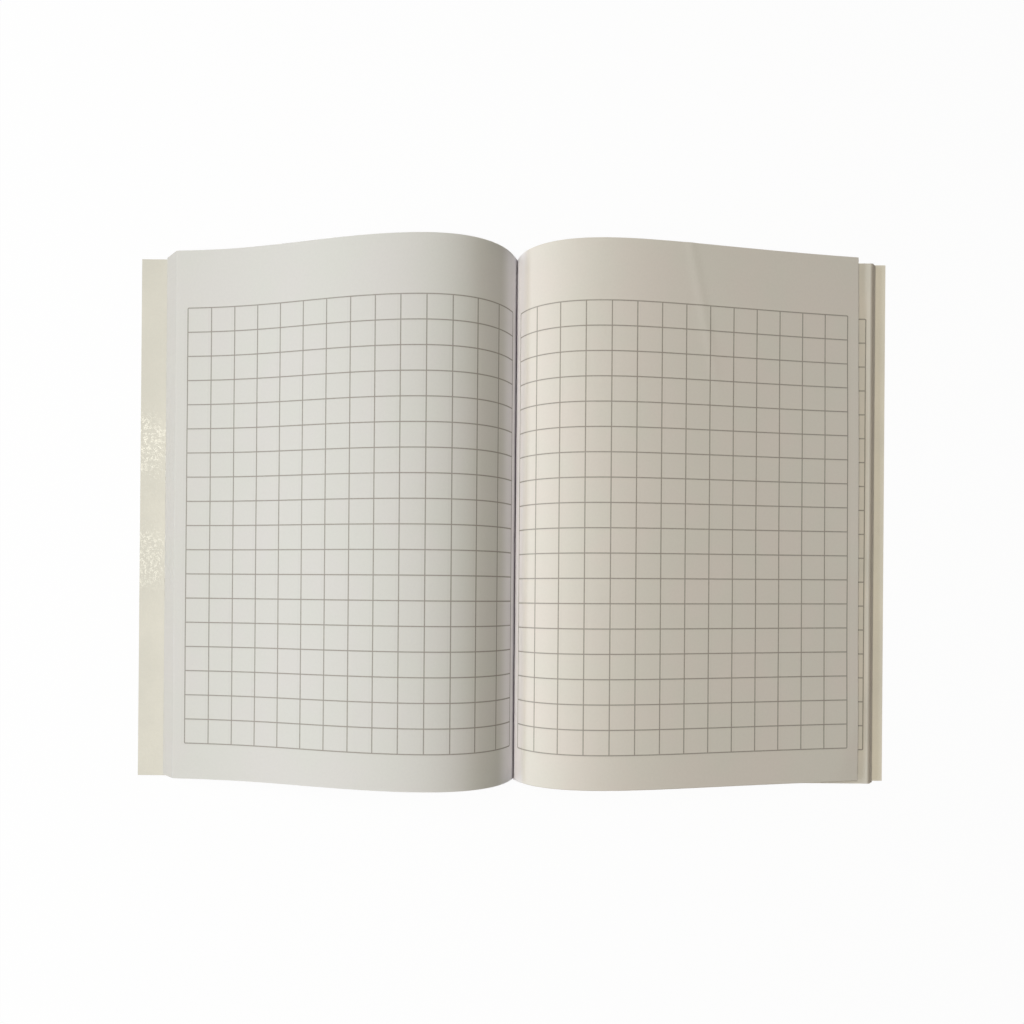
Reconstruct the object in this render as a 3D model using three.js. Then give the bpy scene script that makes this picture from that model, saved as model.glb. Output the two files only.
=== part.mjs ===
import * as THREE from "three";

// An open exercise book lying on its covers, seen with its head at +Y. Millimetres, +Z up.
// The front half is on the left (-X) and the back half on the right. The origin is the middle
// of the spine panel's underside, on the table.

// Sheets
const leafWidth = 148;
const leafHeight = 210;
const leafThickness = 0.055;
const leafClearance = 0.02;
const frontBundles = [7, 7, 7, 7, 7, 7, 6, 6, 1, 1, 1, 1];
const backBundles = [6, 6, 6, 1, 1, 1];

// Cover card and glue
const cardThickness = 0.3;
const coverWidth = 148;
const creaseGap = 0.4;
const glueThickness = 0.5;
const glueInset = 0.1;
const coverClearance = 0.08;

// Arch of a leaf. It rises from the glue at its root slope, in degrees, bends over, runs along
// its crest and then falls to the height at which its fore edge lies. Looseness opens the stack
// towards the fore edge, and creep is how far the leaves stand past the cover towards the head.
const frontArch = {
  rootSlope: 70.7,
  bend: 21.1,
  sharpness: 1.57,
  fallAt: 86.3,
  fallLength: 47.8,
  looseness: 0.39,
  creep: 0.4,
};
const backArch = {
  rootSlope: 90,
  bend: 12.4,
  sharpness: 0.85,
  fallAt: 21.3,
  fallLength: 53.7,
  looseness: 0.57,
  creep: -0.5,
};
const turningArch = {
  rootSlope: 90,
  bend: 22,
  sharpness: 1.21,
  fallAt: 72,
  fallLength: 121.7,
  looseness: 0,
  creep: 0.7,
};
const turningEdgeHeight = 4.6;
const archStations = 46;
const stationCrowding = 1.55;
const degree = Math.PI / 180;
const fallSearchSteps = 48;

// Tied sizes
const leafPitch = leafThickness + leafClearance;
const sum = (list) => list.reduce((total, n) => total + n, 0);
const frontLeaves = sum(frontBundles);
const backLeaves = sum(backBundles);
const spineWidth = (frontLeaves + backLeaves + 1) * leafPitch;
const rootHeight = cardThickness + glueThickness;
const restHeight = cardThickness + coverClearance;

const group = new THREE.Group();
group.name = "exercise_book";

const coverCard = new THREE.MeshStandardMaterial({ color: 0xd9d4c6, roughness: 0.35, metalness: 0 });
const bindingGlue = new THREE.MeshStandardMaterial({ color: 0xd8d2c0, roughness: 0.5, metalness: 0 });
const ruledPaper = new THREE.MeshStandardMaterial({ color: 0xd6d2c8, roughness: 0.9, metalness: 0 });

function addPiece(name, geometry, material) {
  const mesh = new THREE.Mesh(geometry, material);
  mesh.name = name;
  group.add(mesh);
}

// A flat strip of card or glue, given by its edges across the book and its two heights
function strip(left, right, bottom, top) {
  const geometry = new THREE.BoxGeometry(right - left, leafHeight, top - bottom);
  geometry.translate((left + right) / 2, 0, (bottom + top) / 2);
  return geometry;
}

// Distances from the root, crowded towards the bend
function stationsAlong(length) {
  const stations = [];
  for (let i = 0; i <= archStations; i += 1) {
    stations.push(length * Math.pow(i / archStations, stationCrowding));
  }
  return stations;
}

function slopeAt(distance, arch, fall) {
  const rise = arch.rootSlope * degree * Math.exp(-Math.pow(distance / arch.bend, arch.sharpness));
  const along = (distance - arch.fallAt) / arch.fallLength;
  return rise - fall * Math.exp(-along * along);
}

// The centre line of an arch as outward distance and height, with the slope of each stretch
function archLine(arch, fall) {
  const stations = stationsAlong(leafWidth);
  const line = [{ out: 0, up: rootHeight, slope: Math.PI / 2 }];
  for (let i = 1; i < stations.length; i += 1) {
    const step = stations[i] - stations[i - 1];
    const slope = slopeAt((stations[i] + stations[i - 1]) / 2, arch, fall);
    const last = line[i - 1];
    line.push({ out: last.out + step * Math.cos(slope), up: last.up + step * Math.sin(slope), slope });
  }
  return line;
}

// The fall that brings the fore edge down to the wanted height
function solveArch(arch, edgeHeight) {
  let low = 0;
  let high = 1;
  for (let i = 0; i < fallSearchSteps; i += 1) {
    const middle = (low + high) / 2;
    const line = archLine(arch, middle);
    if (line[line.length - 1].up > edgeHeight) {
      low = middle;
    } else {
      high = middle;
    }
  }
  return archLine(arch, high);
}

// One face of a bundle: the arch moved out square to itself by the bundle's place in the
// stack, which loosens towards the fore edge, and trimmed to the width of a leaf
function leafFace(line, arch, depth) {
  const points = [];
  let length = 0;
  for (let i = 0; i < line.length; i += 1) {
    const here = line[i].slope;
    const next = i + 1 < line.length ? line[i + 1].slope : here;
    const normal = i === 0 ? Math.PI / 2 : (here + next) / 2;
    const along = i / archStations;
    const away = depth * (1 + arch.looseness * along * along);
    const point = [line[i].out - away * Math.sin(normal), line[i].up + away * Math.cos(normal)];
    if (i > 0) {
      const last = points[i - 1];
      const step = Math.hypot(point[0] - last[0], point[1] - last[1]);
      if (length + step >= leafWidth) {
        const part = (leafWidth - length) / step;
        points.push([last[0] + part * (point[0] - last[0]), last[1] + part * (point[1] - last[1])]);
        break;
      }
      length += step;
    }
    points.push(point);
  }
  return points;
}

// A bundle of leaves between two depths of the stack, as one solid from foot to head
function bundle(line, arch, rootOut, side, lowDepth, highDepth) {
  const under = leafFace(line, arch, lowDepth);
  const over = leafFace(line, arch, highDepth);
  const outline = under.concat(over.reverse());
  const shape = new THREE.Shape();
  outline.forEach(([out, up], i) => {
    const across = side * (rootOut + out);
    if (i === 0) {
      shape.moveTo(across, up);
    } else {
      shape.lineTo(across, up);
    }
  });
  shape.closePath();
  const geometry = new THREE.ExtrudeGeometry(shape, { depth: leafHeight, bevelEnabled: false });
  geometry.rotateX(Math.PI / 2);
  geometry.translate(0, leafHeight / 2 + arch.creep, 0);
  return geometry;
}

// Binding and cover: one scored card, glued to the roots of the leaves
addPiece("spine_panel", strip(-spineWidth / 2, spineWidth / 2, 0, cardThickness), coverCard);
addPiece(
  "spine_glue",
  strip(-spineWidth / 2 + glueInset, spineWidth / 2 - glueInset, cardThickness, rootHeight),
  bindingGlue,
);
const hingeEdge = spineWidth / 2 + creaseGap;
addPiece("front_cover", strip(-hingeEdge - coverWidth, -hingeEdge, 0, cardThickness), coverCard);
addPiece("back_cover", strip(hingeEdge, hingeEdge + coverWidth, 0, cardThickness), coverCard);

// The two stacks, each from the leaf on the cover up to the open page
function addStack(name, bundles, arch, side) {
  const line = solveArch(arch, restHeight);
  let depth = 0;
  bundles.forEach((leaves, i) => {
    const next = depth + leaves * leafPitch;
    const geometry = bundle(line, arch, spineWidth / 2, side, depth, next - leafClearance);
    addPiece(`${name}_${String(i + 1).padStart(2, "0")}`, geometry, ruledPaper);
    depth = next;
  });
}

addStack("front_leaves", frontBundles, frontArch, -1);
addStack("back_leaves", backBundles, backArch, 1);

// The open right-hand page: a single leaf arched clear of the stack below it
const turningRoot = spineWidth / 2 - backLeaves * leafPitch;
const turningLine = solveArch(turningArch, turningEdgeHeight);
addPiece(
  "turning_leaf",
  bundle(turningLine, turningArch, turningRoot, 1, 0, leafThickness),
  ruledPaper,
);

export default group;
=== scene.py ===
import math

import bpy
import bmesh
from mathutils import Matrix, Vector


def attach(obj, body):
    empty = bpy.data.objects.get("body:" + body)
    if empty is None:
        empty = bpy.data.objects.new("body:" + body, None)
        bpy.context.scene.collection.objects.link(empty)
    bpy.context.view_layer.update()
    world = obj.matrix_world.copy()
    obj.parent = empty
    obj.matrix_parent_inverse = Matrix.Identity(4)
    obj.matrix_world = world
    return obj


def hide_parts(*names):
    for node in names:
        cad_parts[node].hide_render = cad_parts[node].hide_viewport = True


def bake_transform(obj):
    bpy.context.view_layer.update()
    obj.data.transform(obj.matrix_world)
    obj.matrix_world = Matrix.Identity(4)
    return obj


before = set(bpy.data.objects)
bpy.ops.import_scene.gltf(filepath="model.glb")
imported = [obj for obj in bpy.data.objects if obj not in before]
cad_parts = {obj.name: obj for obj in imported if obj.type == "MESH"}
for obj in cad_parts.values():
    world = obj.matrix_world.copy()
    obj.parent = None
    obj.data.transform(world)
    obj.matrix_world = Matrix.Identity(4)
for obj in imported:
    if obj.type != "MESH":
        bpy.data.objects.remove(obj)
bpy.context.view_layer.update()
print("frame loaded:", len(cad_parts), "nodes")


def tint(code):
    # a colour written as six hex digits, as linear red, green and blue
    parts = [int(code[i : i + 2], 16) / 255 for i in (0, 2, 4)]
    return tuple(p / 12.92 if p <= 0.04045 else ((p + 0.055) / 1.055) ** 2.4 for p in parts)


class Wire:
    # one output of a node; arithmetic on it adds Math nodes
    def __init__(self, bench, socket):
        self.bench = bench
        self.socket = socket

    def out(self, name):
        return Wire(self.bench, self.socket.node.outputs[name])

    def maths(self, operation, *others):
        return self.bench.add("ShaderNodeMath", {"operation": operation}, [self, *others])

    def flipped(self, operation, other):
        return self.bench.add("ShaderNodeMath", {"operation": operation}, [other, self])

    def __add__(self, other):
        return self.maths("ADD", other)

    def __radd__(self, other):
        return self.flipped("ADD", other)

    def __sub__(self, other):
        return self.maths("SUBTRACT", other)

    def __rsub__(self, other):
        return self.flipped("SUBTRACT", other)

    def __mul__(self, other):
        return self.maths("MULTIPLY", other)

    def __rmul__(self, other):
        return self.flipped("MULTIPLY", other)

    def __truediv__(self, other):
        return self.maths("DIVIDE", other)

    def __pow__(self, other):
        return self.maths("POWER", other)

    def __neg__(self):
        return self * -1

    def exp(self):
        return self.maths("EXPONENT")

    def sin(self):
        return self.maths("SINE")

    def cos(self):
        return self.maths("COSINE")

    def size(self):
        return self.maths("ABSOLUTE")

    def atLeast(self, other):
        return self.maths("MAXIMUM", other)

    def atMost(self, other):
        return self.maths("MINIMUM", other)

    def ramp(self, low, high, start=0.0, end=1.0):
        settings = {"interpolation_type": "SMOOTHSTEP"}
        return self.bench.add("ShaderNodeMapRange", settings, [self, low, high, start, end])


class Bench:
    # adds nodes to one tree
    def __init__(self, tree):
        self.tree = tree

    def add(self, kind, settings=None, values=None, out=0):
        node = self.tree.nodes.new(kind)
        for key, value in (settings or {}).items():
            setattr(node, key, value)
        pairs = values.items() if isinstance(values, dict) else enumerate(values or [])
        for key, value in pairs:
            if isinstance(value, Wire):
                self.tree.links.new(value.socket, node.inputs[key])
            elif isinstance(value, tuple) and node.inputs[key].type == "RGBA":
                node.inputs[key].default_value = (*value[:3], 1.0)
            else:
                node.inputs[key].default_value = value
        if not node.outputs:
            return node
        return Wire(self, node.outputs[out])

    def mixTint(self, share, one, other, kind="MIX"):
        # the Mix node's colour sockets, which share their names with its others
        settings = {"data_type": "RGBA", "blend_type": kind}
        return self.add("ShaderNodeMix", settings, {0: share, 6: one, 7: other}, out=2)

    def split(self, vector):
        parts = self.add("ShaderNodeSeparateXYZ", None, [vector])
        return parts, parts.out("Y"), parts.out("Z")

    def join(self, x, y, z):
        return self.add("ShaderNodeCombineXYZ", None, [x, y, z])

    def noise(self, vector, scale, detail=2.0, roughness=0.5):
        values = {"Vector": vector, "Scale": scale, "Detail": detail, "Roughness": roughness}
        return self.add("ShaderNodeTexNoise", None, values)


def startMaterial(name):
    material = bpy.data.materials.new(name)
    material.use_nodes = True
    material.node_tree.nodes.clear()
    return material, Bench(material.node_tree)


def endMaterial(bench, fixed, **varying):
    # fixed numbers sit on the shader itself; what varies is linked
    shader = bench.tree.nodes.new("ShaderNodeBsdfPrincipled")
    for key, value in fixed.items():
        shader.inputs[key].default_value = value
    for key, wire in varying.items():
        bench.tree.links.new(wire.socket, shader.inputs[key.replace("_", " ")])
    last = bench.tree.nodes.new("ShaderNodeOutputMaterial")
    bench.tree.links.new(shader.outputs[0], last.inputs["Surface"])


# Camera, above the open book and looking straight down on it

cameraSettings = {
    "place": (-0.00746, -0.02927, 0.29502),
    "turn": (0.00138, -0.00066, 0.00803),
    "lens": 25.457,
    "shiftAcross": 0.01807,
    "shiftUp": 0.07686,
    "sensor": 36.0,
    "nearest": 0.01,
    "farthest": 20.0,
}


def makeCamera(settings):
    data = bpy.data.cameras.new("overhead")
    data.lens = settings["lens"]
    data.sensor_width = settings["sensor"]
    data.shift_x = settings["shiftAcross"]
    data.shift_y = settings["shiftUp"]
    data.clip_start = settings["nearest"]
    data.clip_end = settings["farthest"]
    camera = bpy.data.objects.new("overhead", data)
    camera.location = settings["place"]
    camera.rotation_euler = settings["turn"]
    bpy.context.collection.objects.link(camera)
    bpy.context.scene.camera = camera


makeCamera(cameraSettings)
print("camera placed")


# Paper with a printed square grid. Across is measured from a leaf's root, and along from its
# middle towards the head.

leafSettings = {
    "Leaf Width": 0.148,
    "Leaf Height": 0.210,
    "Leaf Thickness": 0.000055,
    "Leaf Pitch": 0.000075,
    "Root Height": 0.0008,
    "Stations": 184,
    "Crowding": 1.55,
}
gridSettings = {
    "columns": 14,
    "rows": 18,
    "cellAcross": 0.009833,
    "lineWidth": 0.00043,
    "lineSoftness": 0.00012,
    "cornerRadius": 0.0004,
    "ink": tint("80776b"),
    "inkStrength": 0.77,
    "inkGrain": 0.3,
    "inkGrainScale": 1600,
}
paperSettings = {
    # painted shade for the cut edges and the root crease, and painted light near the gutter
    "paintedEdgeShade": tint("7d6c57"),
    "gutterPaintedLight": tint("f7f5f7"),
    "rootPaintedShade": tint("857c8a"),
    "throughShift": (0.0011, -0.0005),  # how far the print on the back lies from the front's
    "throughStrength": 0.03,
    "cloudScale": 42,
    "cloudShare": 0.6,
    "fleckScale": 900,
    "fleckTone": 0.055,
    "strandScale": (2600, 700),
    "strandTone": 0.04,
    "reliefFleck": 0.6,
    "reliefStrands": 0.4,
    "reliefStrength": 0.35,
    "reliefDepth": 0.00004,
    "roughness": 0.84,
    "roughnessFleck": 0.12,
    "inkSmoothing": 0.14,
}


def gridLines(bench, across, along, grid, softness):
    # 1 on the printed lines, from the distance to the nearest line and to the outer frame
    halfAcross = grid["columns"] * grid["cellAcross"] / 2
    halfAlong = grid["rows"] * grid["cellAlong"] / 2
    columnsIn = across / grid["cellAcross"] + 0.5
    rowsIn = along / grid["cellAlong"] + 0.5
    toColumn = (columnsIn.maths("FRACT") - 0.5).size() * grid["cellAcross"]
    toRow = (rowsIn.maths("FRACT") - 0.5).size() * grid["cellAlong"]
    pastSide = (across - halfAcross).size() - (halfAcross - grid["cornerRadius"])
    pastEnd = (along - halfAlong).size() - (halfAlong - grid["cornerRadius"])
    corner = (pastSide.atLeast(0) ** 2 + pastEnd.atLeast(0) ** 2).maths("SQRT")
    outside = corner + pastSide.atLeast(pastEnd).atMost(0) - grid["cornerRadius"]
    half = grid["lineWidth"] / 2
    inner = toColumn.atMost(toRow).ramp(half - softness, half + softness, 1, 0)
    within = outside.ramp(-half, half * 0.2, 1, 0)
    rim = outside.size().ramp(half - softness, half + softness, 1, 0)
    return (inner * within).atLeast(rim)


def ruledPaper(name, own):
    material, bench = startMaterial(name)
    paper = paperSettings
    gridFoot, innerMargin = own["gridFoot"], own["innerMargin"]
    page = bench.add("ShaderNodeUVMap", {"uv_map": "pageMap"})
    across, along, _ = bench.split(page)
    flat = bench.join(across, along, 0)
    foreEdge = leafSettings["Leaf Width"]
    grid = dict(gridSettings, cellAlong=own["cellAlong"])
    lines = gridLines(bench, across - innerMargin, along - gridFoot, grid, grid["lineSoftness"])
    shift = paper["throughShift"]
    through = gridLines(
        bench,
        across - innerMargin - shift[0],
        along - gridFoot - shift[1],
        grid,
        grid["lineWidth"],
    )
    clouds = bench.noise(flat, paper["cloudScale"], 2, 0.5)
    fleck = bench.noise(flat, paper["fleckScale"], 3, 0.62)
    acrossGrain, alongGrain = paper["strandScale"]
    strands = bench.noise(bench.join(across * acrossGrain, along * alongGrain, 0), 1, 2, 0.6)
    inkGrain = bench.noise(flat, grid["inkGrainScale"], 2, 0.5)
    cloudShare = clouds.ramp(0.30, 0.70) * paper["cloudShare"]
    base = bench.mixTint(cloudShare, own["sheet"], own["cloud"])
    tone = 1 + (fleck - 0.5) * paper["fleckTone"] + (strands - 0.5) * paper["strandTone"]
    tone = tone - through * paper["throughStrength"]
    base = bench.mixTint(1, base, bench.join(tone, tone, tone), "MULTIPLY")
    # painted light: the paper is lightened near the gutter, standing in for light that reaches deep
    # into it
    gutterLightShare = across.ramp(*own["gutterLightFade"], 1, 0)
    base = bench.mixTint(gutterLightShare, base, paper["gutterPaintedLight"])
    # painted shade: a dark line along the root, the shade in the crease between the pages
    rootShadeShare = across.ramp(*own["rootShadeFade"], 1, 0)
    base = bench.mixTint(rootShadeShare, base, paper["rootPaintedShade"])
    # painted shade: the cut fore edge and the foot edge are darkened as if in shadow
    paintedEdgeShade = across.ramp(foreEdge - own["edgeReach"], foreEdge)
    base = bench.mixTint(paintedEdgeShade * own["edgeShade"], base, paper["paintedEdgeShade"])
    footEdge = leafSettings["Leaf Height"] / 2
    paintedFootShade = (-along).ramp(footEdge - own["edgeReach"], footEdge)
    base = bench.mixTint(paintedFootShade * own["footShade"], base, paper["paintedEdgeShade"])
    inkShare = lines * (grid["inkStrength"] + (inkGrain - 0.5) * grid["inkGrain"])
    base = bench.mixTint(inkShare, base, grid["ink"])
    relief = fleck * paper["reliefFleck"] + strands * paper["reliefStrands"]
    bumped = bench.add(
        "ShaderNodeBump",
        None,
        {
            "Strength": paper["reliefStrength"],
            "Distance": paper["reliefDepth"],
            "Height": relief,
        },
    )
    rough = paper["roughness"] + (fleck - 0.5) * paper["roughnessFleck"]
    rough = rough - lines * paper["inkSmoothing"]
    endMaterial(
        bench,
        {"Specular IOR Level": 0.35, "Sheen Weight": 0.06},
        Base_Color=base,
        Roughness=rough,
        Normal=bumped,
    )
    return material


# what each page has of its own: where its grid starts, its colours, its edges, and how far its
# painted gutter light, painted root shade and painted edge shade reach
leftKind = {
    "gridFoot": -0.09092,
    "innerMargin": 0.00552,
    "cellAlong": 0.009607,
    "sheet": tint("dad7d2"),
    "cloud": tint("d8d8d0"),
    "edgeShade": 0.0,
    "footShade": 0.0,
    "edgeReach": 0.0003,
    "gutterLightFade": (0.0080, 0.0150),
    "rootShadeFade": (0.0014, 0.0036),
}
rightKind = {
    "gridFoot": -0.09169,
    "innerMargin": 0.00558,
    "cellAlong": 0.009607,
    # painted light: the right sheet is warmer than the left, for the warmer light on the right page
    "sheet": tint("e1d9cf"),
    "cloud": tint("dddace"),
    "edgeShade": 0.0,
    "footShade": 0.45,
    "edgeReach": 0.0003,
    "gutterLightFade": (0.0073, 0.0108),
    "rootShadeFade": (0.0003, 0.0016),
}
nextKind = dict(
    rightKind,
    gridFoot=-0.09132,
    innerMargin=0.00770,
    cellAlong=0.009654,
    # painted light: this sheet is lighter, to undo the turning leaf's shadow on it
    sheet=tint("ebe3d5"),
    edgeShade=0.65,
    footShade=0.0,
    edgeReach=0.0012,
)
leftPaper = ruledPaper("leftPaper", leftKind)
rightPaper = ruledPaper("rightPaper", rightKind)
nextPaper = ruledPaper("nextPaper", nextKind)
leftStackPaper = ruledPaper("leftStackPaper", dict(leftKind, edgeShade=0.20))
rightStackPaper = ruledPaper(
    "rightStackPaper", dict(nextKind, sheet=rightKind["sheet"], edgeShade=0.38)
)
print("paper ready")


# Leaves: one tree makes any number of them on the same arch. The slope of a leaf starts at
# the root slope, dies away over the bend and dips where the leaf falls to its fore edge.

spineWidth = 0.0060
restHeight = 0.00038
frontCount = 58
backCount = 21
frontArch = {
    "Root Slope": math.radians(70.7),
    "Bend": 0.0211,
    "Sharpness": 1.57,
    "Fall At": 0.0863,
    "Fall Length": 0.0478,
    "Looseness": 0.39,
    "Head Creep": 0.0004,
    "Skew": 0.0017,
    "Fan": 0.0,
}
backArch = {
    "Root Slope": math.radians(90),
    "Bend": 0.0124,
    "Sharpness": 0.85,
    "Fall At": 0.0213,
    "Fall Length": 0.0537,
    "Looseness": 0.57,
    "Head Creep": -0.0005,
    "Skew": 0.0,
    "Fan": 0.0,
}
turningArch = {
    "Root Slope": math.radians(90),
    "Bend": 0.0220,
    "Sharpness": 1.21,
    "Fall At": 0.0720,
    "Fall Length": 0.1217,
    "Looseness": 0.0,
    "Head Creep": 0.0007,
    "Skew": 0.0047,
    "Fan": 0.0060,
}
turningEdge = 0.0046
foldSettings = {
    "cornerFacing": (0.957, -0.289),  # shares of across and along, towards the foot corner
    "cornerStart": 0.1640,
    "creaseFacing": (0.978, 0.210),
    "creasePlace": 0.0961,
    "creaseWidth": 0.0018,
    "creaseFade": (0.040, 0.070),
}
sheetSettings = {
    "rootCrowding": 1.4,
    "sharpAngle": 0.6,
    "rootTurn": 0.0004,
    "rippleScale": (16, 22),
    "rippleMiddle": 0.42,
}
treeInputs = [
    ("Leaf Count", "NodeSocketInt"),
    ("First Depth", "NodeSocketFloat"),
    ("Leaf Width", "NodeSocketFloat"),
    ("Leaf Height", "NodeSocketFloat"),
    ("Leaf Thickness", "NodeSocketFloat"),
    ("Leaf Pitch", "NodeSocketFloat"),
    ("Head Creep", "NodeSocketFloat"),
    ("Skew", "NodeSocketFloat"),
    ("Fan", "NodeSocketFloat"),
    ("Root Height", "NodeSocketFloat"),
    ("Root Out", "NodeSocketFloat"),
    ("Side", "NodeSocketFloat"),
    ("Root Slope", "NodeSocketFloat"),
    ("Bend", "NodeSocketFloat"),
    ("Sharpness", "NodeSocketFloat"),
    ("Fall", "NodeSocketFloat"),
    ("Fall At", "NodeSocketFloat"),
    ("Fall Length", "NodeSocketFloat"),
    ("Looseness", "NodeSocketFloat"),
    ("Stations", "NodeSocketInt"),
    ("Crowding", "NodeSocketFloat"),
    ("Across Steps", "NodeSocketInt"),
    ("Along Steps", "NodeSocketInt"),
    ("Waviness", "NodeSocketFloat"),
    ("Wave Start", "NodeSocketFloat"),
    ("Wave Growth", "NodeSocketFloat"),
    ("Corner Drop", "NodeSocketFloat"),
    ("Crease Height", "NodeSocketFloat"),
    ("Scatter", "NodeSocketFloat"),
    ("Seed", "NodeSocketInt"),
    ("Paper", "NodeSocketMaterial"),
]


def solveFall(arch, edgeHeight):
    # the fall that brings the fore edge down to its height, by halving
    count, crowding = leafSettings["Stations"], leafSettings["Crowding"]
    places = [leafSettings["Leaf Width"] * (i / count) ** crowding for i in range(count + 1)]
    low, high = 0.0, 1.0
    for _ in range(40):
        fall = (low + high) / 2
        height = leafSettings["Root Height"]
        for near, far in zip(places, places[1:]):
            middle = (near + far) / 2
            rise = arch["Root Slope"] * math.exp(-((middle / arch["Bend"]) ** arch["Sharpness"]))
            dip = math.exp(-(((middle - arch["Fall At"]) / arch["Fall Length"]) ** 2))
            height += (far - near) * math.sin(rise - fall * dip)
        if height > edgeHeight:
            low = fall
        else:
            high = fall
    return high


def buildLeafTree():
    tree = bpy.data.node_groups.new("bookLeaves", "GeometryNodeTree")
    tree.interface.new_socket(name="Leaves", in_out="OUTPUT", socket_type="NodeSocketGeometry")
    for name, kind in treeInputs:
        tree.interface.new_socket(name=name, in_out="INPUT", socket_type=kind)
    bench = Bench(tree)
    given = bench.add("NodeGroupInput")
    width = given.out("Leaf Width")
    crowding = given.out("Crowding")
    stations = given.out("Stations")

    def slopeAt(distance):
        rise = (-((distance / given.out("Bend")) ** given.out("Sharpness"))).exp()
        place = (distance - given.out("Fall At")) / given.out("Fall Length")
        return rise * given.out("Root Slope") - given.out("Fall") * (-(place * place)).exp()

    def total(value):
        return bench.add("GeometryNodeAccumulateField", {"data_type": "FLOAT"}, [value])

    # the arch itself, as a line of short steps
    index = bench.add("GeometryNodeInputIndex")
    station = width * (index / stations) ** crowding
    before = width * ((index - 1).atLeast(0) / stations) ** crowding
    step = station - before
    lean = slopeAt((station + before) * 0.5)
    archPoint = bench.join(
        total(step * lean.cos()), 0, total(step * lean.sin()) + given.out("Root Height")
    )
    line = bench.add(
        "GeometryNodeMeshLine", {"mode": "OFFSET"}, {"Count": stations + 1, "Offset": (0, 0, 0)}
    )
    line = bench.add("GeometryNodeSetPosition", None, {"Geometry": line, "Position": archPoint})
    arch = bench.add("GeometryNodeMeshToCurve", None, {"Mesh": line})

    # one leaf as a thin closed sheet with its own map, measured from the root and the middle
    sheet = bench.add(
        "GeometryNodeMeshCube",
        None,
        {
            "Size": (1, 1, 1),
            "Vertices X": given.out("Across Steps") + 1,
            "Vertices Y": given.out("Along Steps") + 1,
            "Vertices Z": 2,
        },
    )
    x, y, z = bench.split(bench.add("GeometryNodeInputPosition"))
    across = width * (x + 0.5) ** sheetSettings["rootCrowding"]
    along = y * given.out("Leaf Height")
    sheet = bench.add(
        "GeometryNodeStoreNamedAttribute",
        {"data_type": "FLOAT2", "domain": "CORNER"},
        {"Geometry": sheet, "Name": "pageMap", "Value": bench.join(across, along, 0)},
    )
    corner = bench.add("GeometryNodeInputMeshEdgeAngle")
    isCorner = bench.add(
        "FunctionNodeCompare",
        {"data_type": "FLOAT", "operation": "GREATER_THAN"},
        [corner, sheetSettings["sharpAngle"]],
    )
    sheet = bench.add("GeometryNodeSetShadeSmooth", None, {"Geometry": sheet, "Shade Smooth": True})
    sheet = bench.add(
        "GeometryNodeSetShadeSmooth",
        {"domain": "EDGE"},
        {"Geometry": sheet, "Selection": isCorner, "Shade Smooth": False},
    )

    # as many as asked, each knowing its number in the stack
    places = bench.add(
        "GeometryNodeMeshLine",
        {"mode": "OFFSET"},
        {"Count": given.out("Leaf Count"), "Offset": (0, 0, 0)},
    )
    leaves = bench.add("GeometryNodeInstanceOnPoints", None, {"Points": places, "Instance": sheet})
    leaves = bench.add(
        "GeometryNodeStoreNamedAttribute",
        {"data_type": "FLOAT", "domain": "INSTANCE"},
        {"Geometry": leaves, "Name": "leafNumber", "Value": index},
    )
    leaves = bench.add("GeometryNodeRealizeInstances", None, {"Geometry": leaves})

    number = bench.add(
        "GeometryNodeInputNamedAttribute", {"data_type": "FLOAT"}, {"Name": "leafNumber"}
    )

    def chance(offset):
        # the node's sockets for single numbers: lowest, highest, which leaf and seed
        values = {2: -1.0, 3: 1.0, 7: number, 8: given.out("Seed") + offset}
        return bench.add("FunctionNodeRandomValue", {"data_type": "FLOAT"}, values, out=1)

    slide = given.out("Scatter") * chance(0)
    ride = given.out("Scatter") * chance(1) * 0.5
    depth = given.out("First Depth") + number * given.out("Leaf Pitch")
    depth = depth + (z + 0.5) * given.out("Leaf Thickness")
    # a leaf higher in the stack bends on a wider curve, so it reaches less far along the arch
    wanted = across + slide * (across / width)
    reach = (wanted - depth * (math.pi / 2 - slopeAt(wanted))).atLeast(0)
    reach = (wanted - depth * (math.pi / 2 - slopeAt(reach))).atLeast(0)
    rootLean = math.pi / 2 - slopeAt(width * 0)
    facing = slopeAt(reach) + rootLean * (-(reach / sheetSettings["rootTurn"])).exp()
    share = reach / width
    away = depth * (1 + given.out("Looseness") * share ** (crowding.maths("POWER", -1) * 2))
    rippleAcross, rippleAlong = sheetSettings["rippleScale"]
    ripplePlace = bench.join(across * rippleAcross, along * rippleAlong, given.out("Seed"))
    ripple = bench.noise(ripplePlace, 1, 1.5, 0.5) - sheetSettings["rippleMiddle"]
    growth = given.out("Wave Start") + number * given.out("Wave Growth")
    away = away + ripple * growth * given.out("Waviness") * share * share

    def distanceTowards(facing):
        return across * facing[0] + along * facing[1]

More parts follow.
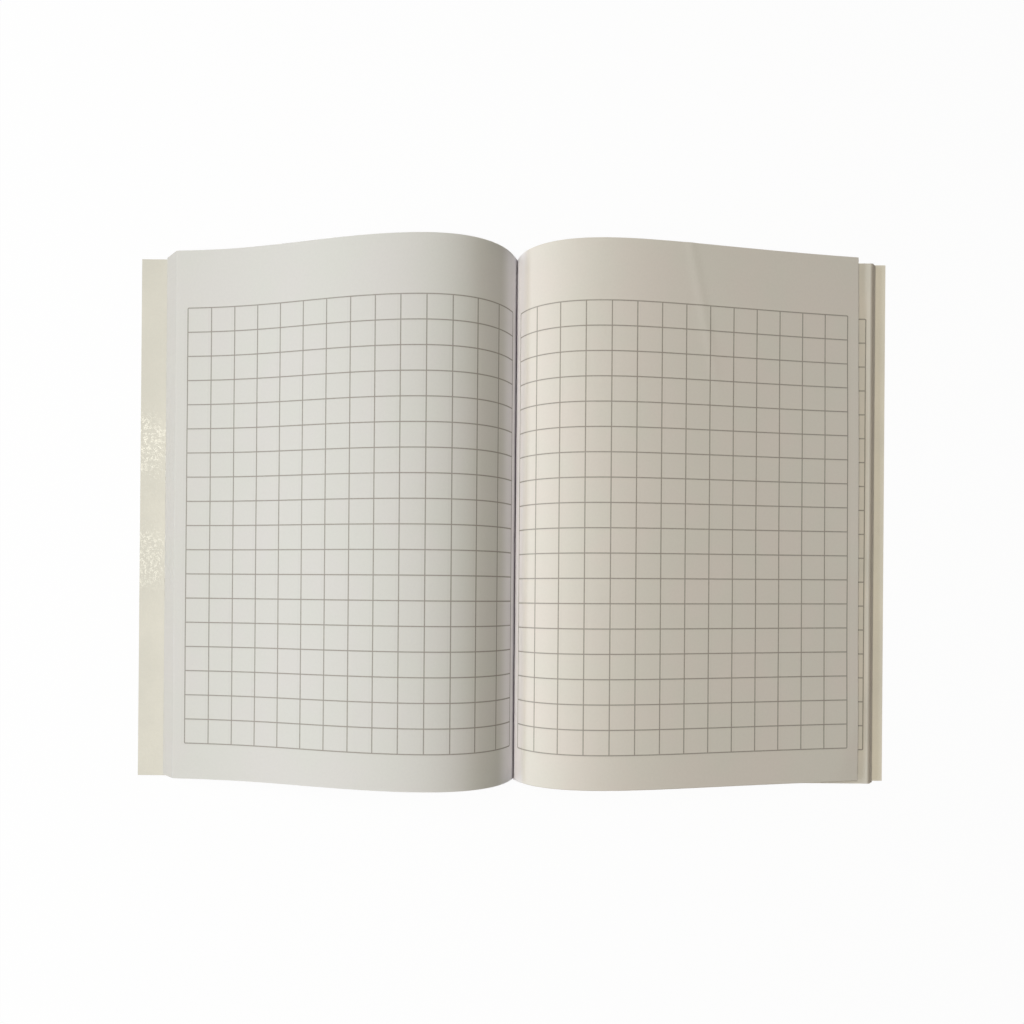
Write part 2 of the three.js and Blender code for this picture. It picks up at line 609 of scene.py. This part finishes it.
    fold = foldSettings
    pastFold = (distanceTowards(fold["cornerFacing"]) - fold["cornerStart"]).atLeast(0)
    away = away - pastFold * given.out("Corner Drop")
    fromCrease = distanceTowards(fold["creaseFacing"]) - fold["creasePlace"]
    fromCrease = fromCrease / fold["creaseWidth"]
    ridge = (-(fromCrease * fromCrease)).exp()
    ridge = ridge * along.ramp(*fold["creaseFade"])
    away = away + ridge * given.out("Crease Height")
    spot = bench.add(
        "GeometryNodeSampleCurve",
        {"mode": "LENGTH", "use_all_curves": True},
        {"Curves": arch, "Length": reach},
        out="Position",
    )
    out, _, up = bench.split(spot)
    fan = given.out("Fan") * along * share**4
    acrossBook = given.out("Side") * (given.out("Root Out") + out - away * facing.sin() - fan)
    aside = given.out("Head Creep") + ride + given.out("Skew") * (across - width * 0.5)
    place = bench.join(acrossBook, along + aside, up + away * facing.cos())
    leaves = bench.add("GeometryNodeSetPosition", None, {"Geometry": leaves, "Position": place})
    mirrored = bench.add(
        "FunctionNodeCompare",
        {"data_type": "FLOAT", "operation": "LESS_THAN"},
        [given.out("Side"), 0.0],
    )
    leaves = bench.add("GeometryNodeFlipFaces", None, {"Mesh": leaves, "Selection": mirrored})
    leaves = bench.add(
        "GeometryNodeSetMaterial", None, {"Geometry": leaves, "Material": given.out("Paper")}
    )
    bench.add("NodeGroupOutput", None, {"Leaves": leaves})
    return tree


leafTree = buildLeafTree()
leafSockets = {item.name: item.identifier for item in leafTree.interface.items_tree}


def makeLeaves(name, arch, edgeHeight, own):
    values = dict(leafSettings)
    values.update(arch)
    values["Fall"] = solveFall(arch, edgeHeight)
    values.update(own)
    piece = bpy.data.objects.new(name, bpy.data.meshes.new(name))
    bpy.context.collection.objects.link(piece)
    modifier = piece.modifiers.new("leaves", "NODES")
    modifier.node_group = leafTree
    for key, value in values.items():
        modifier[leafSockets[key]] = value
    bpy.context.view_layer.update()
    depsgraph = bpy.context.evaluated_depsgraph_get()
    mesh = bpy.data.meshes.new_from_object(
        piece.evaluated_get(depsgraph), preserve_all_data_layers=True, depsgraph=depsgraph
    )
    piece.modifiers.clear()
    piece.data = mesh
    mesh.name = name
    print(name, len(mesh.polygons), "faces")
    return piece


pitch = leafSettings["Leaf Pitch"]

frontSide = {"Side": -1.0, "Root Out": spineWidth / 2, "Waviness": 0.0008, "Seed": 4}
backSide = {"Side": 1.0, "Root Out": spineWidth / 2, "Waviness": 0.0004, "Seed": 9}
stacked = {
    "First Depth": 0.0,
    "Across Steps": 40,
    "Along Steps": 6,
    "Wave Start": 0.0,
    "Scatter": 0.00010,
}
single = {"Leaf Count": 1, "Wave Start": 1.0, "Wave Growth": 0.0, "Scatter": 0.0}

frontStack = makeLeaves(
    "frontStack",
    frontArch,
    restHeight,
    {
        **frontSide,
        **stacked,
        "Leaf Count": frontCount - 1,
        "Wave Growth": 1 / frontCount,
        "Paper": leftStackPaper,
    },
)
leftPage = makeLeaves(
    "leftPage",
    frontArch,
    restHeight,
    {
        **frontSide,
        **single,
        "First Depth": (frontCount - 1) * pitch,
        "Across Steps": 96,
        "Along Steps": 48,
        "Paper": leftPaper,
    },
)
backStack = makeLeaves(
    "backStack",
    backArch,
    restHeight,
    {
        **backSide,
        **stacked,
        "Leaf Count": backCount - 1,
        "Wave Growth": 1 / backCount,
        "Paper": rightStackPaper,
    },
)
secondPage = makeLeaves(
    "secondPage",
    backArch,
    restHeight,
    {
        **backSide,
        **single,
        "First Depth": (backCount - 1) * pitch,
        "Across Steps": 90,
        "Along Steps": 40,
        "Paper": nextPaper,
    },
)
rightPage = makeLeaves(
    "rightPage",
    turningArch,
    turningEdge,
    {
        **single,
        "First Depth": 0.0,
        "Root Out": spineWidth / 2 - backCount * pitch,
        "Side": 1.0,
        "Across Steps": 150,
        "Along Steps": 72,
        "Corner Drop": 0.05,
        "Crease Height": 0.00016,
        "Waviness": 0.0009,
        "Seed": 21,
        "Paper": rightPaper,
    },
)
frontNodes = sorted(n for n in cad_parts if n.startswith("front_leaves"))
backNodes = sorted(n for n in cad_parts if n.startswith("back_leaves"))
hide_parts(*frontNodes[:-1])
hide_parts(frontNodes[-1])
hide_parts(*backNodes[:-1])
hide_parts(backNodes[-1])
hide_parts("turning_leaf")
for piece in (frontStack, leftPage):
    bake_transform(piece)
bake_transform(rightPage)
for piece in (backStack, secondPage):
    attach(piece, "back_half")
print("leaves in place")


# Cover: one sheet of card, scored on both sides of the spine

cardSettings = {
    "thickness": 0.0003,
    "panel": 0.148,
    "crease": 0.0004,
    "height": 0.210,
    "groove": 0.00011,
    "outerGroove": 0.00005,
    "edgeRound": 0.00006,
    "rows": 30,
    "panelSteps": 24,
    "creaseSteps": 8,
    "spineSteps": 3,
    "rimShares": (0.3, 0.7),
    "sharpAngle": math.radians(28),
    # painted light: the front's inside is dimmed and the back's lightened, lit and shaded copies of
    # one card
    "insideFrontDimmed": tint("cdc9bc"),
    "insideBackLightened": tint("f2ead7"),
    "insideDeep": tint("dcd7c8"),
    "outside": tint("d6d0bf"),
    "core": tint("ece8dc"),
    "middleReach": 0.002,
    "cloudScale": 26,
    "cloudShare": 0.6,
    "coreShare": 0.7,
    "speckleScale": 1900,
    "speckleTone": 0.09,
    "speckleRelief": 0.2,
    "peelScale": 700,
    "peelTone": 0.03,
    "peelDepth": 0.00006,
    "gloss": 0.5,
    "glossRoughness": 0.075,
    "roughness": 0.40,
    "roughnessSpeckle": 0.2,
    "roughnessCore": 0.3,
}


def coverMaterial(settings):
    material, bench = startMaterial("coatedCard")
    place = bench.add("ShaderNodeUVMap", {"uv_map": "cardMap"})
    across, along, _ = bench.split(place)
    flat = bench.join(across, along, 0)
    # innerFace is 1 on the card's inside, 0 on its outside and 0.5 on its cut edge
    inner = bench.add("ShaderNodeAttribute", {"attribute_name": "innerFace"}, out="Fac")
    clouds = bench.noise(flat, settings["cloudScale"], 3, 0.55)
    speckle = bench.noise(flat, settings["speckleScale"], 2, 0.7)
    peel = bench.noise(flat, settings["peelScale"], 1.5, 0.5)
    # painted light: the back half of the inside is lighter than the front half
    backLightenedShare = across.ramp(-settings["middleReach"], settings["middleReach"])
    inside = bench.mixTint(backLightenedShare, settings["insideFrontDimmed"], settings["insideBackLightened"])
    cloudShare = clouds.ramp(0.35, 0.75) * settings["cloudShare"]
    inside = bench.mixTint(cloudShare, inside, settings["insideDeep"])
    base = bench.mixTint(inner.ramp(0.45, 0.55), settings["outside"], inside)
    core = 1 - ((inner - 0.5) * 2).size().ramp(0.9, 0.98)
    base = bench.mixTint(core * settings["coreShare"], base, settings["core"])
    tone = 1 + (speckle - 0.5) * settings["speckleTone"] + (peel - 0.5) * settings["peelTone"]
    base = bench.mixTint(1, base, bench.join(tone, tone, tone), "MULTIPLY")
    bumped = bench.add(
        "ShaderNodeBump",
        None,
        {
            "Strength": 1.0,
            "Distance": settings["peelDepth"],
            "Height": peel + speckle * settings["speckleRelief"],
        },
    )
    # the coat lies on the high spots of the peel, so a lamp's mirror image breaks into grains
    gloss = peel.ramp(0.42, 0.66) * (1 - core) * settings["gloss"]
    rough = settings["roughness"] + (speckle - 0.5) * settings["roughnessSpeckle"]
    rough = rough + core * settings["roughnessCore"]
    endMaterial(
        bench,
        {"Specular IOR Level": 0.45, "Coat Roughness": settings["glossRoughness"]},
        Base_Color=base,
        Roughness=rough,
        Coat_Weight=gloss,
        Normal=bumped,
    )
    return material


def makeCover(settings):
    half = spineWidth / 2
    crease, panel, rounding = settings["crease"], settings["panel"], settings["edgeRound"]
    outer = half + crease + panel
    spineSteps, creaseSteps = settings["spineSteps"], settings["creaseSteps"]
    panelSteps = settings["panelSteps"]

    # columns of points across the card, each with its share of the groove's depth
    columns = [(half * i / spineSteps, 0.0) for i in range(spineSteps)]
    for i in range(creaseSteps + 1):
        dip = math.sin(math.pi * i / creaseSteps) ** 2
        columns.append((half + crease * i / creaseSteps, dip))
    for i in range(1, panelSteps):
        columns.append((half + crease + (panel - rounding) * i / panelSteps, 0.0))
    columns.append((outer - rounding, 0.0))
    columns = [(-x, dip) for x, dip in reversed(columns[1:])] + columns
    rows = [-settings["height"] / 2 + rounding]
    span = settings["height"] - 2 * rounding
    rows += [rows[0] + span * i / settings["rows"] for i in range(1, settings["rows"] + 1)]
    top, deep = settings["thickness"], settings["groove"]
    mesh = bmesh.new()
    inner = mesh.verts.layers.float.new("innerFace")
    card = mesh.loops.layers.uv.new("cardMap")

    def point(x, y, z, face):
        vertex = mesh.verts.new((x, y, z))
        vertex[inner] = face
        return vertex

    upper = [[point(x, y, top - deep * dip, 1) for y in rows] for x, dip in columns]
    lower = [[point(x, y, settings["outerGroove"] * dip, 0) for y in rows] for x, dip in columns]

    def rimOf(ring):
        # the middle of the cut edge, pushed out by the rounding
        found = []
        for x, y in ring:
            pushX = math.copysign(rounding, x) if math.isclose(abs(x), outer - rounding) else 0
            pushY = math.copysign(rounding, y) if math.isclose(abs(y), rows[-1]) else 0
            found.append((x + pushX, y + pushY))
        return found

    last, end = len(columns) - 1, len(rows) - 1
    ring = [(i, 0) for i in range(last)] + [(last, j) for j in range(end)]
    ring += [(i, end) for i in range(last, 0, -1)] + [(0, j) for j in range(end, 0, -1)]
    flatRing = [(columns[i][0], rows[j]) for i, j in ring]
    rims = []
    for share in settings["rimShares"]:
        rim = []
        for (i, j), (x, y) in zip(ring, rimOf(flatRing)):
            low, high = lower[i][j].co.z, upper[i][j].co.z
            rim.append(point(x, y, low + (high - low) * share, 0.5))
        rims.append(rim)
    for i in range(last):
        for j in range(end):
            a, b = upper[i], upper[i + 1]
            mesh.faces.new((a[j], b[j], b[j + 1], a[j + 1]))
            a, b = lower[i], lower[i + 1]
            mesh.faces.new((a[j], a[j + 1], b[j + 1], b[j]))
    stages = [[lower[i][j] for i, j in ring], *rims, [upper[i][j] for i, j in ring]]
    for under, over in zip(stages, stages[1:]):
        for k in range(len(ring)):
            after = (k + 1) % len(ring)
            mesh.faces.new((under[k], under[after], over[after], over[k]))
    bmesh.ops.recalc_face_normals(mesh, faces=mesh.faces)
    for face in mesh.faces:
        face.smooth = True
        for loop in face.loops:
            loop[card].uv = (loop.vert.co.x, loop.vert.co.y)
    data = bpy.data.meshes.new("coverCard")
    mesh.to_mesh(data)
    mesh.free()
    data.set_sharp_from_angle(angle=settings["sharpAngle"])
    piece = bpy.data.objects.new("coverCard", data)
    bpy.context.collection.objects.link(piece)
    data.materials.append(coverMaterial(settings))
    return piece


coverCard = makeCover(cardSettings)
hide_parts("spine_panel", "front_cover", "back_cover")
hingeHeight = cardSettings["thickness"] / 2
-spineWidth / 2 - cardSettings["crease"]
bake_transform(coverCard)
print("cover made")


# Glue on the spine, in the shape that the frame gives it

glueSettings = {
    "body": tint("ddd6c4"),
    "deep": tint("c4b99f"),
    "rippleScale": 700,
    "runScale": 160,
    "reliefStrength": 0.6,
    "reliefDepth": 0.00008,
    "roughness": 0.42,
    "roughnessRipple": 0.3,
}


def glueMaterial(settings):
    material, bench = startMaterial("bindingGlue")
    place = bench.add("ShaderNodeTexCoord", None, out="Object")
    ripples = bench.noise(place, settings["rippleScale"], 3, 0.6)
    runs = bench.noise(place, settings["runScale"], 2, 0.5)
    base = bench.mixTint(runs.ramp(0.3, 0.7), settings["body"], settings["deep"])
    bumped = bench.add(
        "ShaderNodeBump",
        None,
        {
            "Strength": settings["reliefStrength"],
            "Distance": settings["reliefDepth"],
            "Height": ripples,
        },
    )
    endMaterial(
        bench,
        {"Specular IOR Level": 0.5},
        Base_Color=base,
        Roughness=settings["roughness"] + (ripples - 0.5) * settings["roughnessRipple"],
        Normal=bumped,
    )
    return material


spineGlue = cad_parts["spine_glue"]
spineGlue.data.materials.clear()
spineGlue.data.materials.append(glueMaterial(glueSettings))
print("glue finished")


# Table, backdrop and lamps

studioSettings = {
    "floorSize": 6.0,
    "floorDrop": 0.00012,
    "floorTint": tint("f4f3f1"),
    "floorWhite": 0.95,
    "fill": (1.0, 0.98, 0.95),
    "fillStrength": 0.04,
    "aim": (0.0, 0.0, 0.01),
    # two window lamps light the pages, and two panes make the bright grains on the left cover
    "lamps": [
        {
            "name": "lowWindow",
            "place": (-0.883, 0.0, 0.469),
            "breadth": 1.20,
            "height": 0.20,
            "power": 5.6,
            "tint": (0.75, 0.85, 1.0),
        },
        {
            "name": "highWindow",
            "place": (-0.366, 0.0, 0.931),
            "breadth": 1.20,
            "height": 0.20,
            "power": 7.65,
            "tint": (1.0, 0.96, 0.875),
        },
        {
            "name": "farPane",
            "place": (-0.59, 0.211, 0.90),
            "breadth": 0.087,
            "height": 0.07,
            "power": 0.165,
            "tint": (1.0, 0.97, 0.80),
        },
        {
            "name": "nearPane",
            "place": (-0.58, 0.022, 0.90),
            "breadth": 0.084,
            "height": 0.05,
            "power": 0.105,
            "tint": (1.0, 0.97, 0.80),
        },
    ],
}


def seenRays(bench):
    # rays that show the white backdrop: the camera's own, mirrored and let through
    path = bench.add("ShaderNodeLightPath", None, out="Is Camera Ray")
    return path.atLeast(path.out("Is Glossy Ray")).atLeast(path.out("Is Transmission Ray"))


def addLamp(settings, aim):
    data = bpy.data.lights.new(settings["name"], "AREA")
    data.shape = "RECTANGLE"
    data.size = settings["breadth"]
    data.size_y = settings["height"]
    data.energy = settings["power"]
    data.color = settings["tint"]
    lamp = bpy.data.objects.new(settings["name"], data)
    lamp.location = settings["place"]
    towards = Vector(aim) - Vector(settings["place"])
    lamp.rotation_euler = towards.to_track_quat("-Z", "Y").to_euler()
    bpy.context.collection.objects.link(lamp)


def makeStudio(settings):
    half = settings["floorSize"] / 2
    drop = -settings["floorDrop"]
    corners = [(-half, -half, drop), (half, -half, drop), (half, half, drop), (-half, half, drop)]
    data = bpy.data.meshes.new("table")
    data.from_pydata(corners, [], [(0, 1, 2, 3)])
    table = bpy.data.objects.new("table", data)
    bpy.context.collection.objects.link(table)
    material, bench = startMaterial("paleTable")
    matte = bench.add("ShaderNodeBsdfDiffuse", None, {"Color": settings["floorTint"]})
    white = bench.add("ShaderNodeEmission", None, {"Color": (1.0, 1.0, 1.0), "Strength": 1.0})
    share = seenRays(bench) * settings["floorWhite"]
    mixed = bench.add("ShaderNodeMixShader", None, [share, matte, white])
    bench.add("ShaderNodeOutputMaterial", None, {"Surface": mixed})
    data.materials.append(material)

    world = bpy.data.worlds.new("softRoom")
    world.use_nodes = True
    world.node_tree.nodes.clear()
    bench = Bench(world.node_tree)
    room = bench.add(
        "ShaderNodeBackground",
        None,
        {"Color": settings["fill"], "Strength": settings["fillStrength"]},
    )
    white = bench.add("ShaderNodeBackground", None, {"Color": (1.0, 1.0, 1.0), "Strength": 1.0})
    mixed = bench.add("ShaderNodeMixShader", None, [seenRays(bench), room, white])
    bench.add("ShaderNodeOutputWorld", None, {"Surface": mixed})
    bpy.context.scene.world = world

    for lamp in settings["lamps"]:
        addLamp(lamp, settings["aim"])


makeStudio(studioSettings)
bpy.context.scene.view_settings.view_transform = "Standard"
print("studio lit")
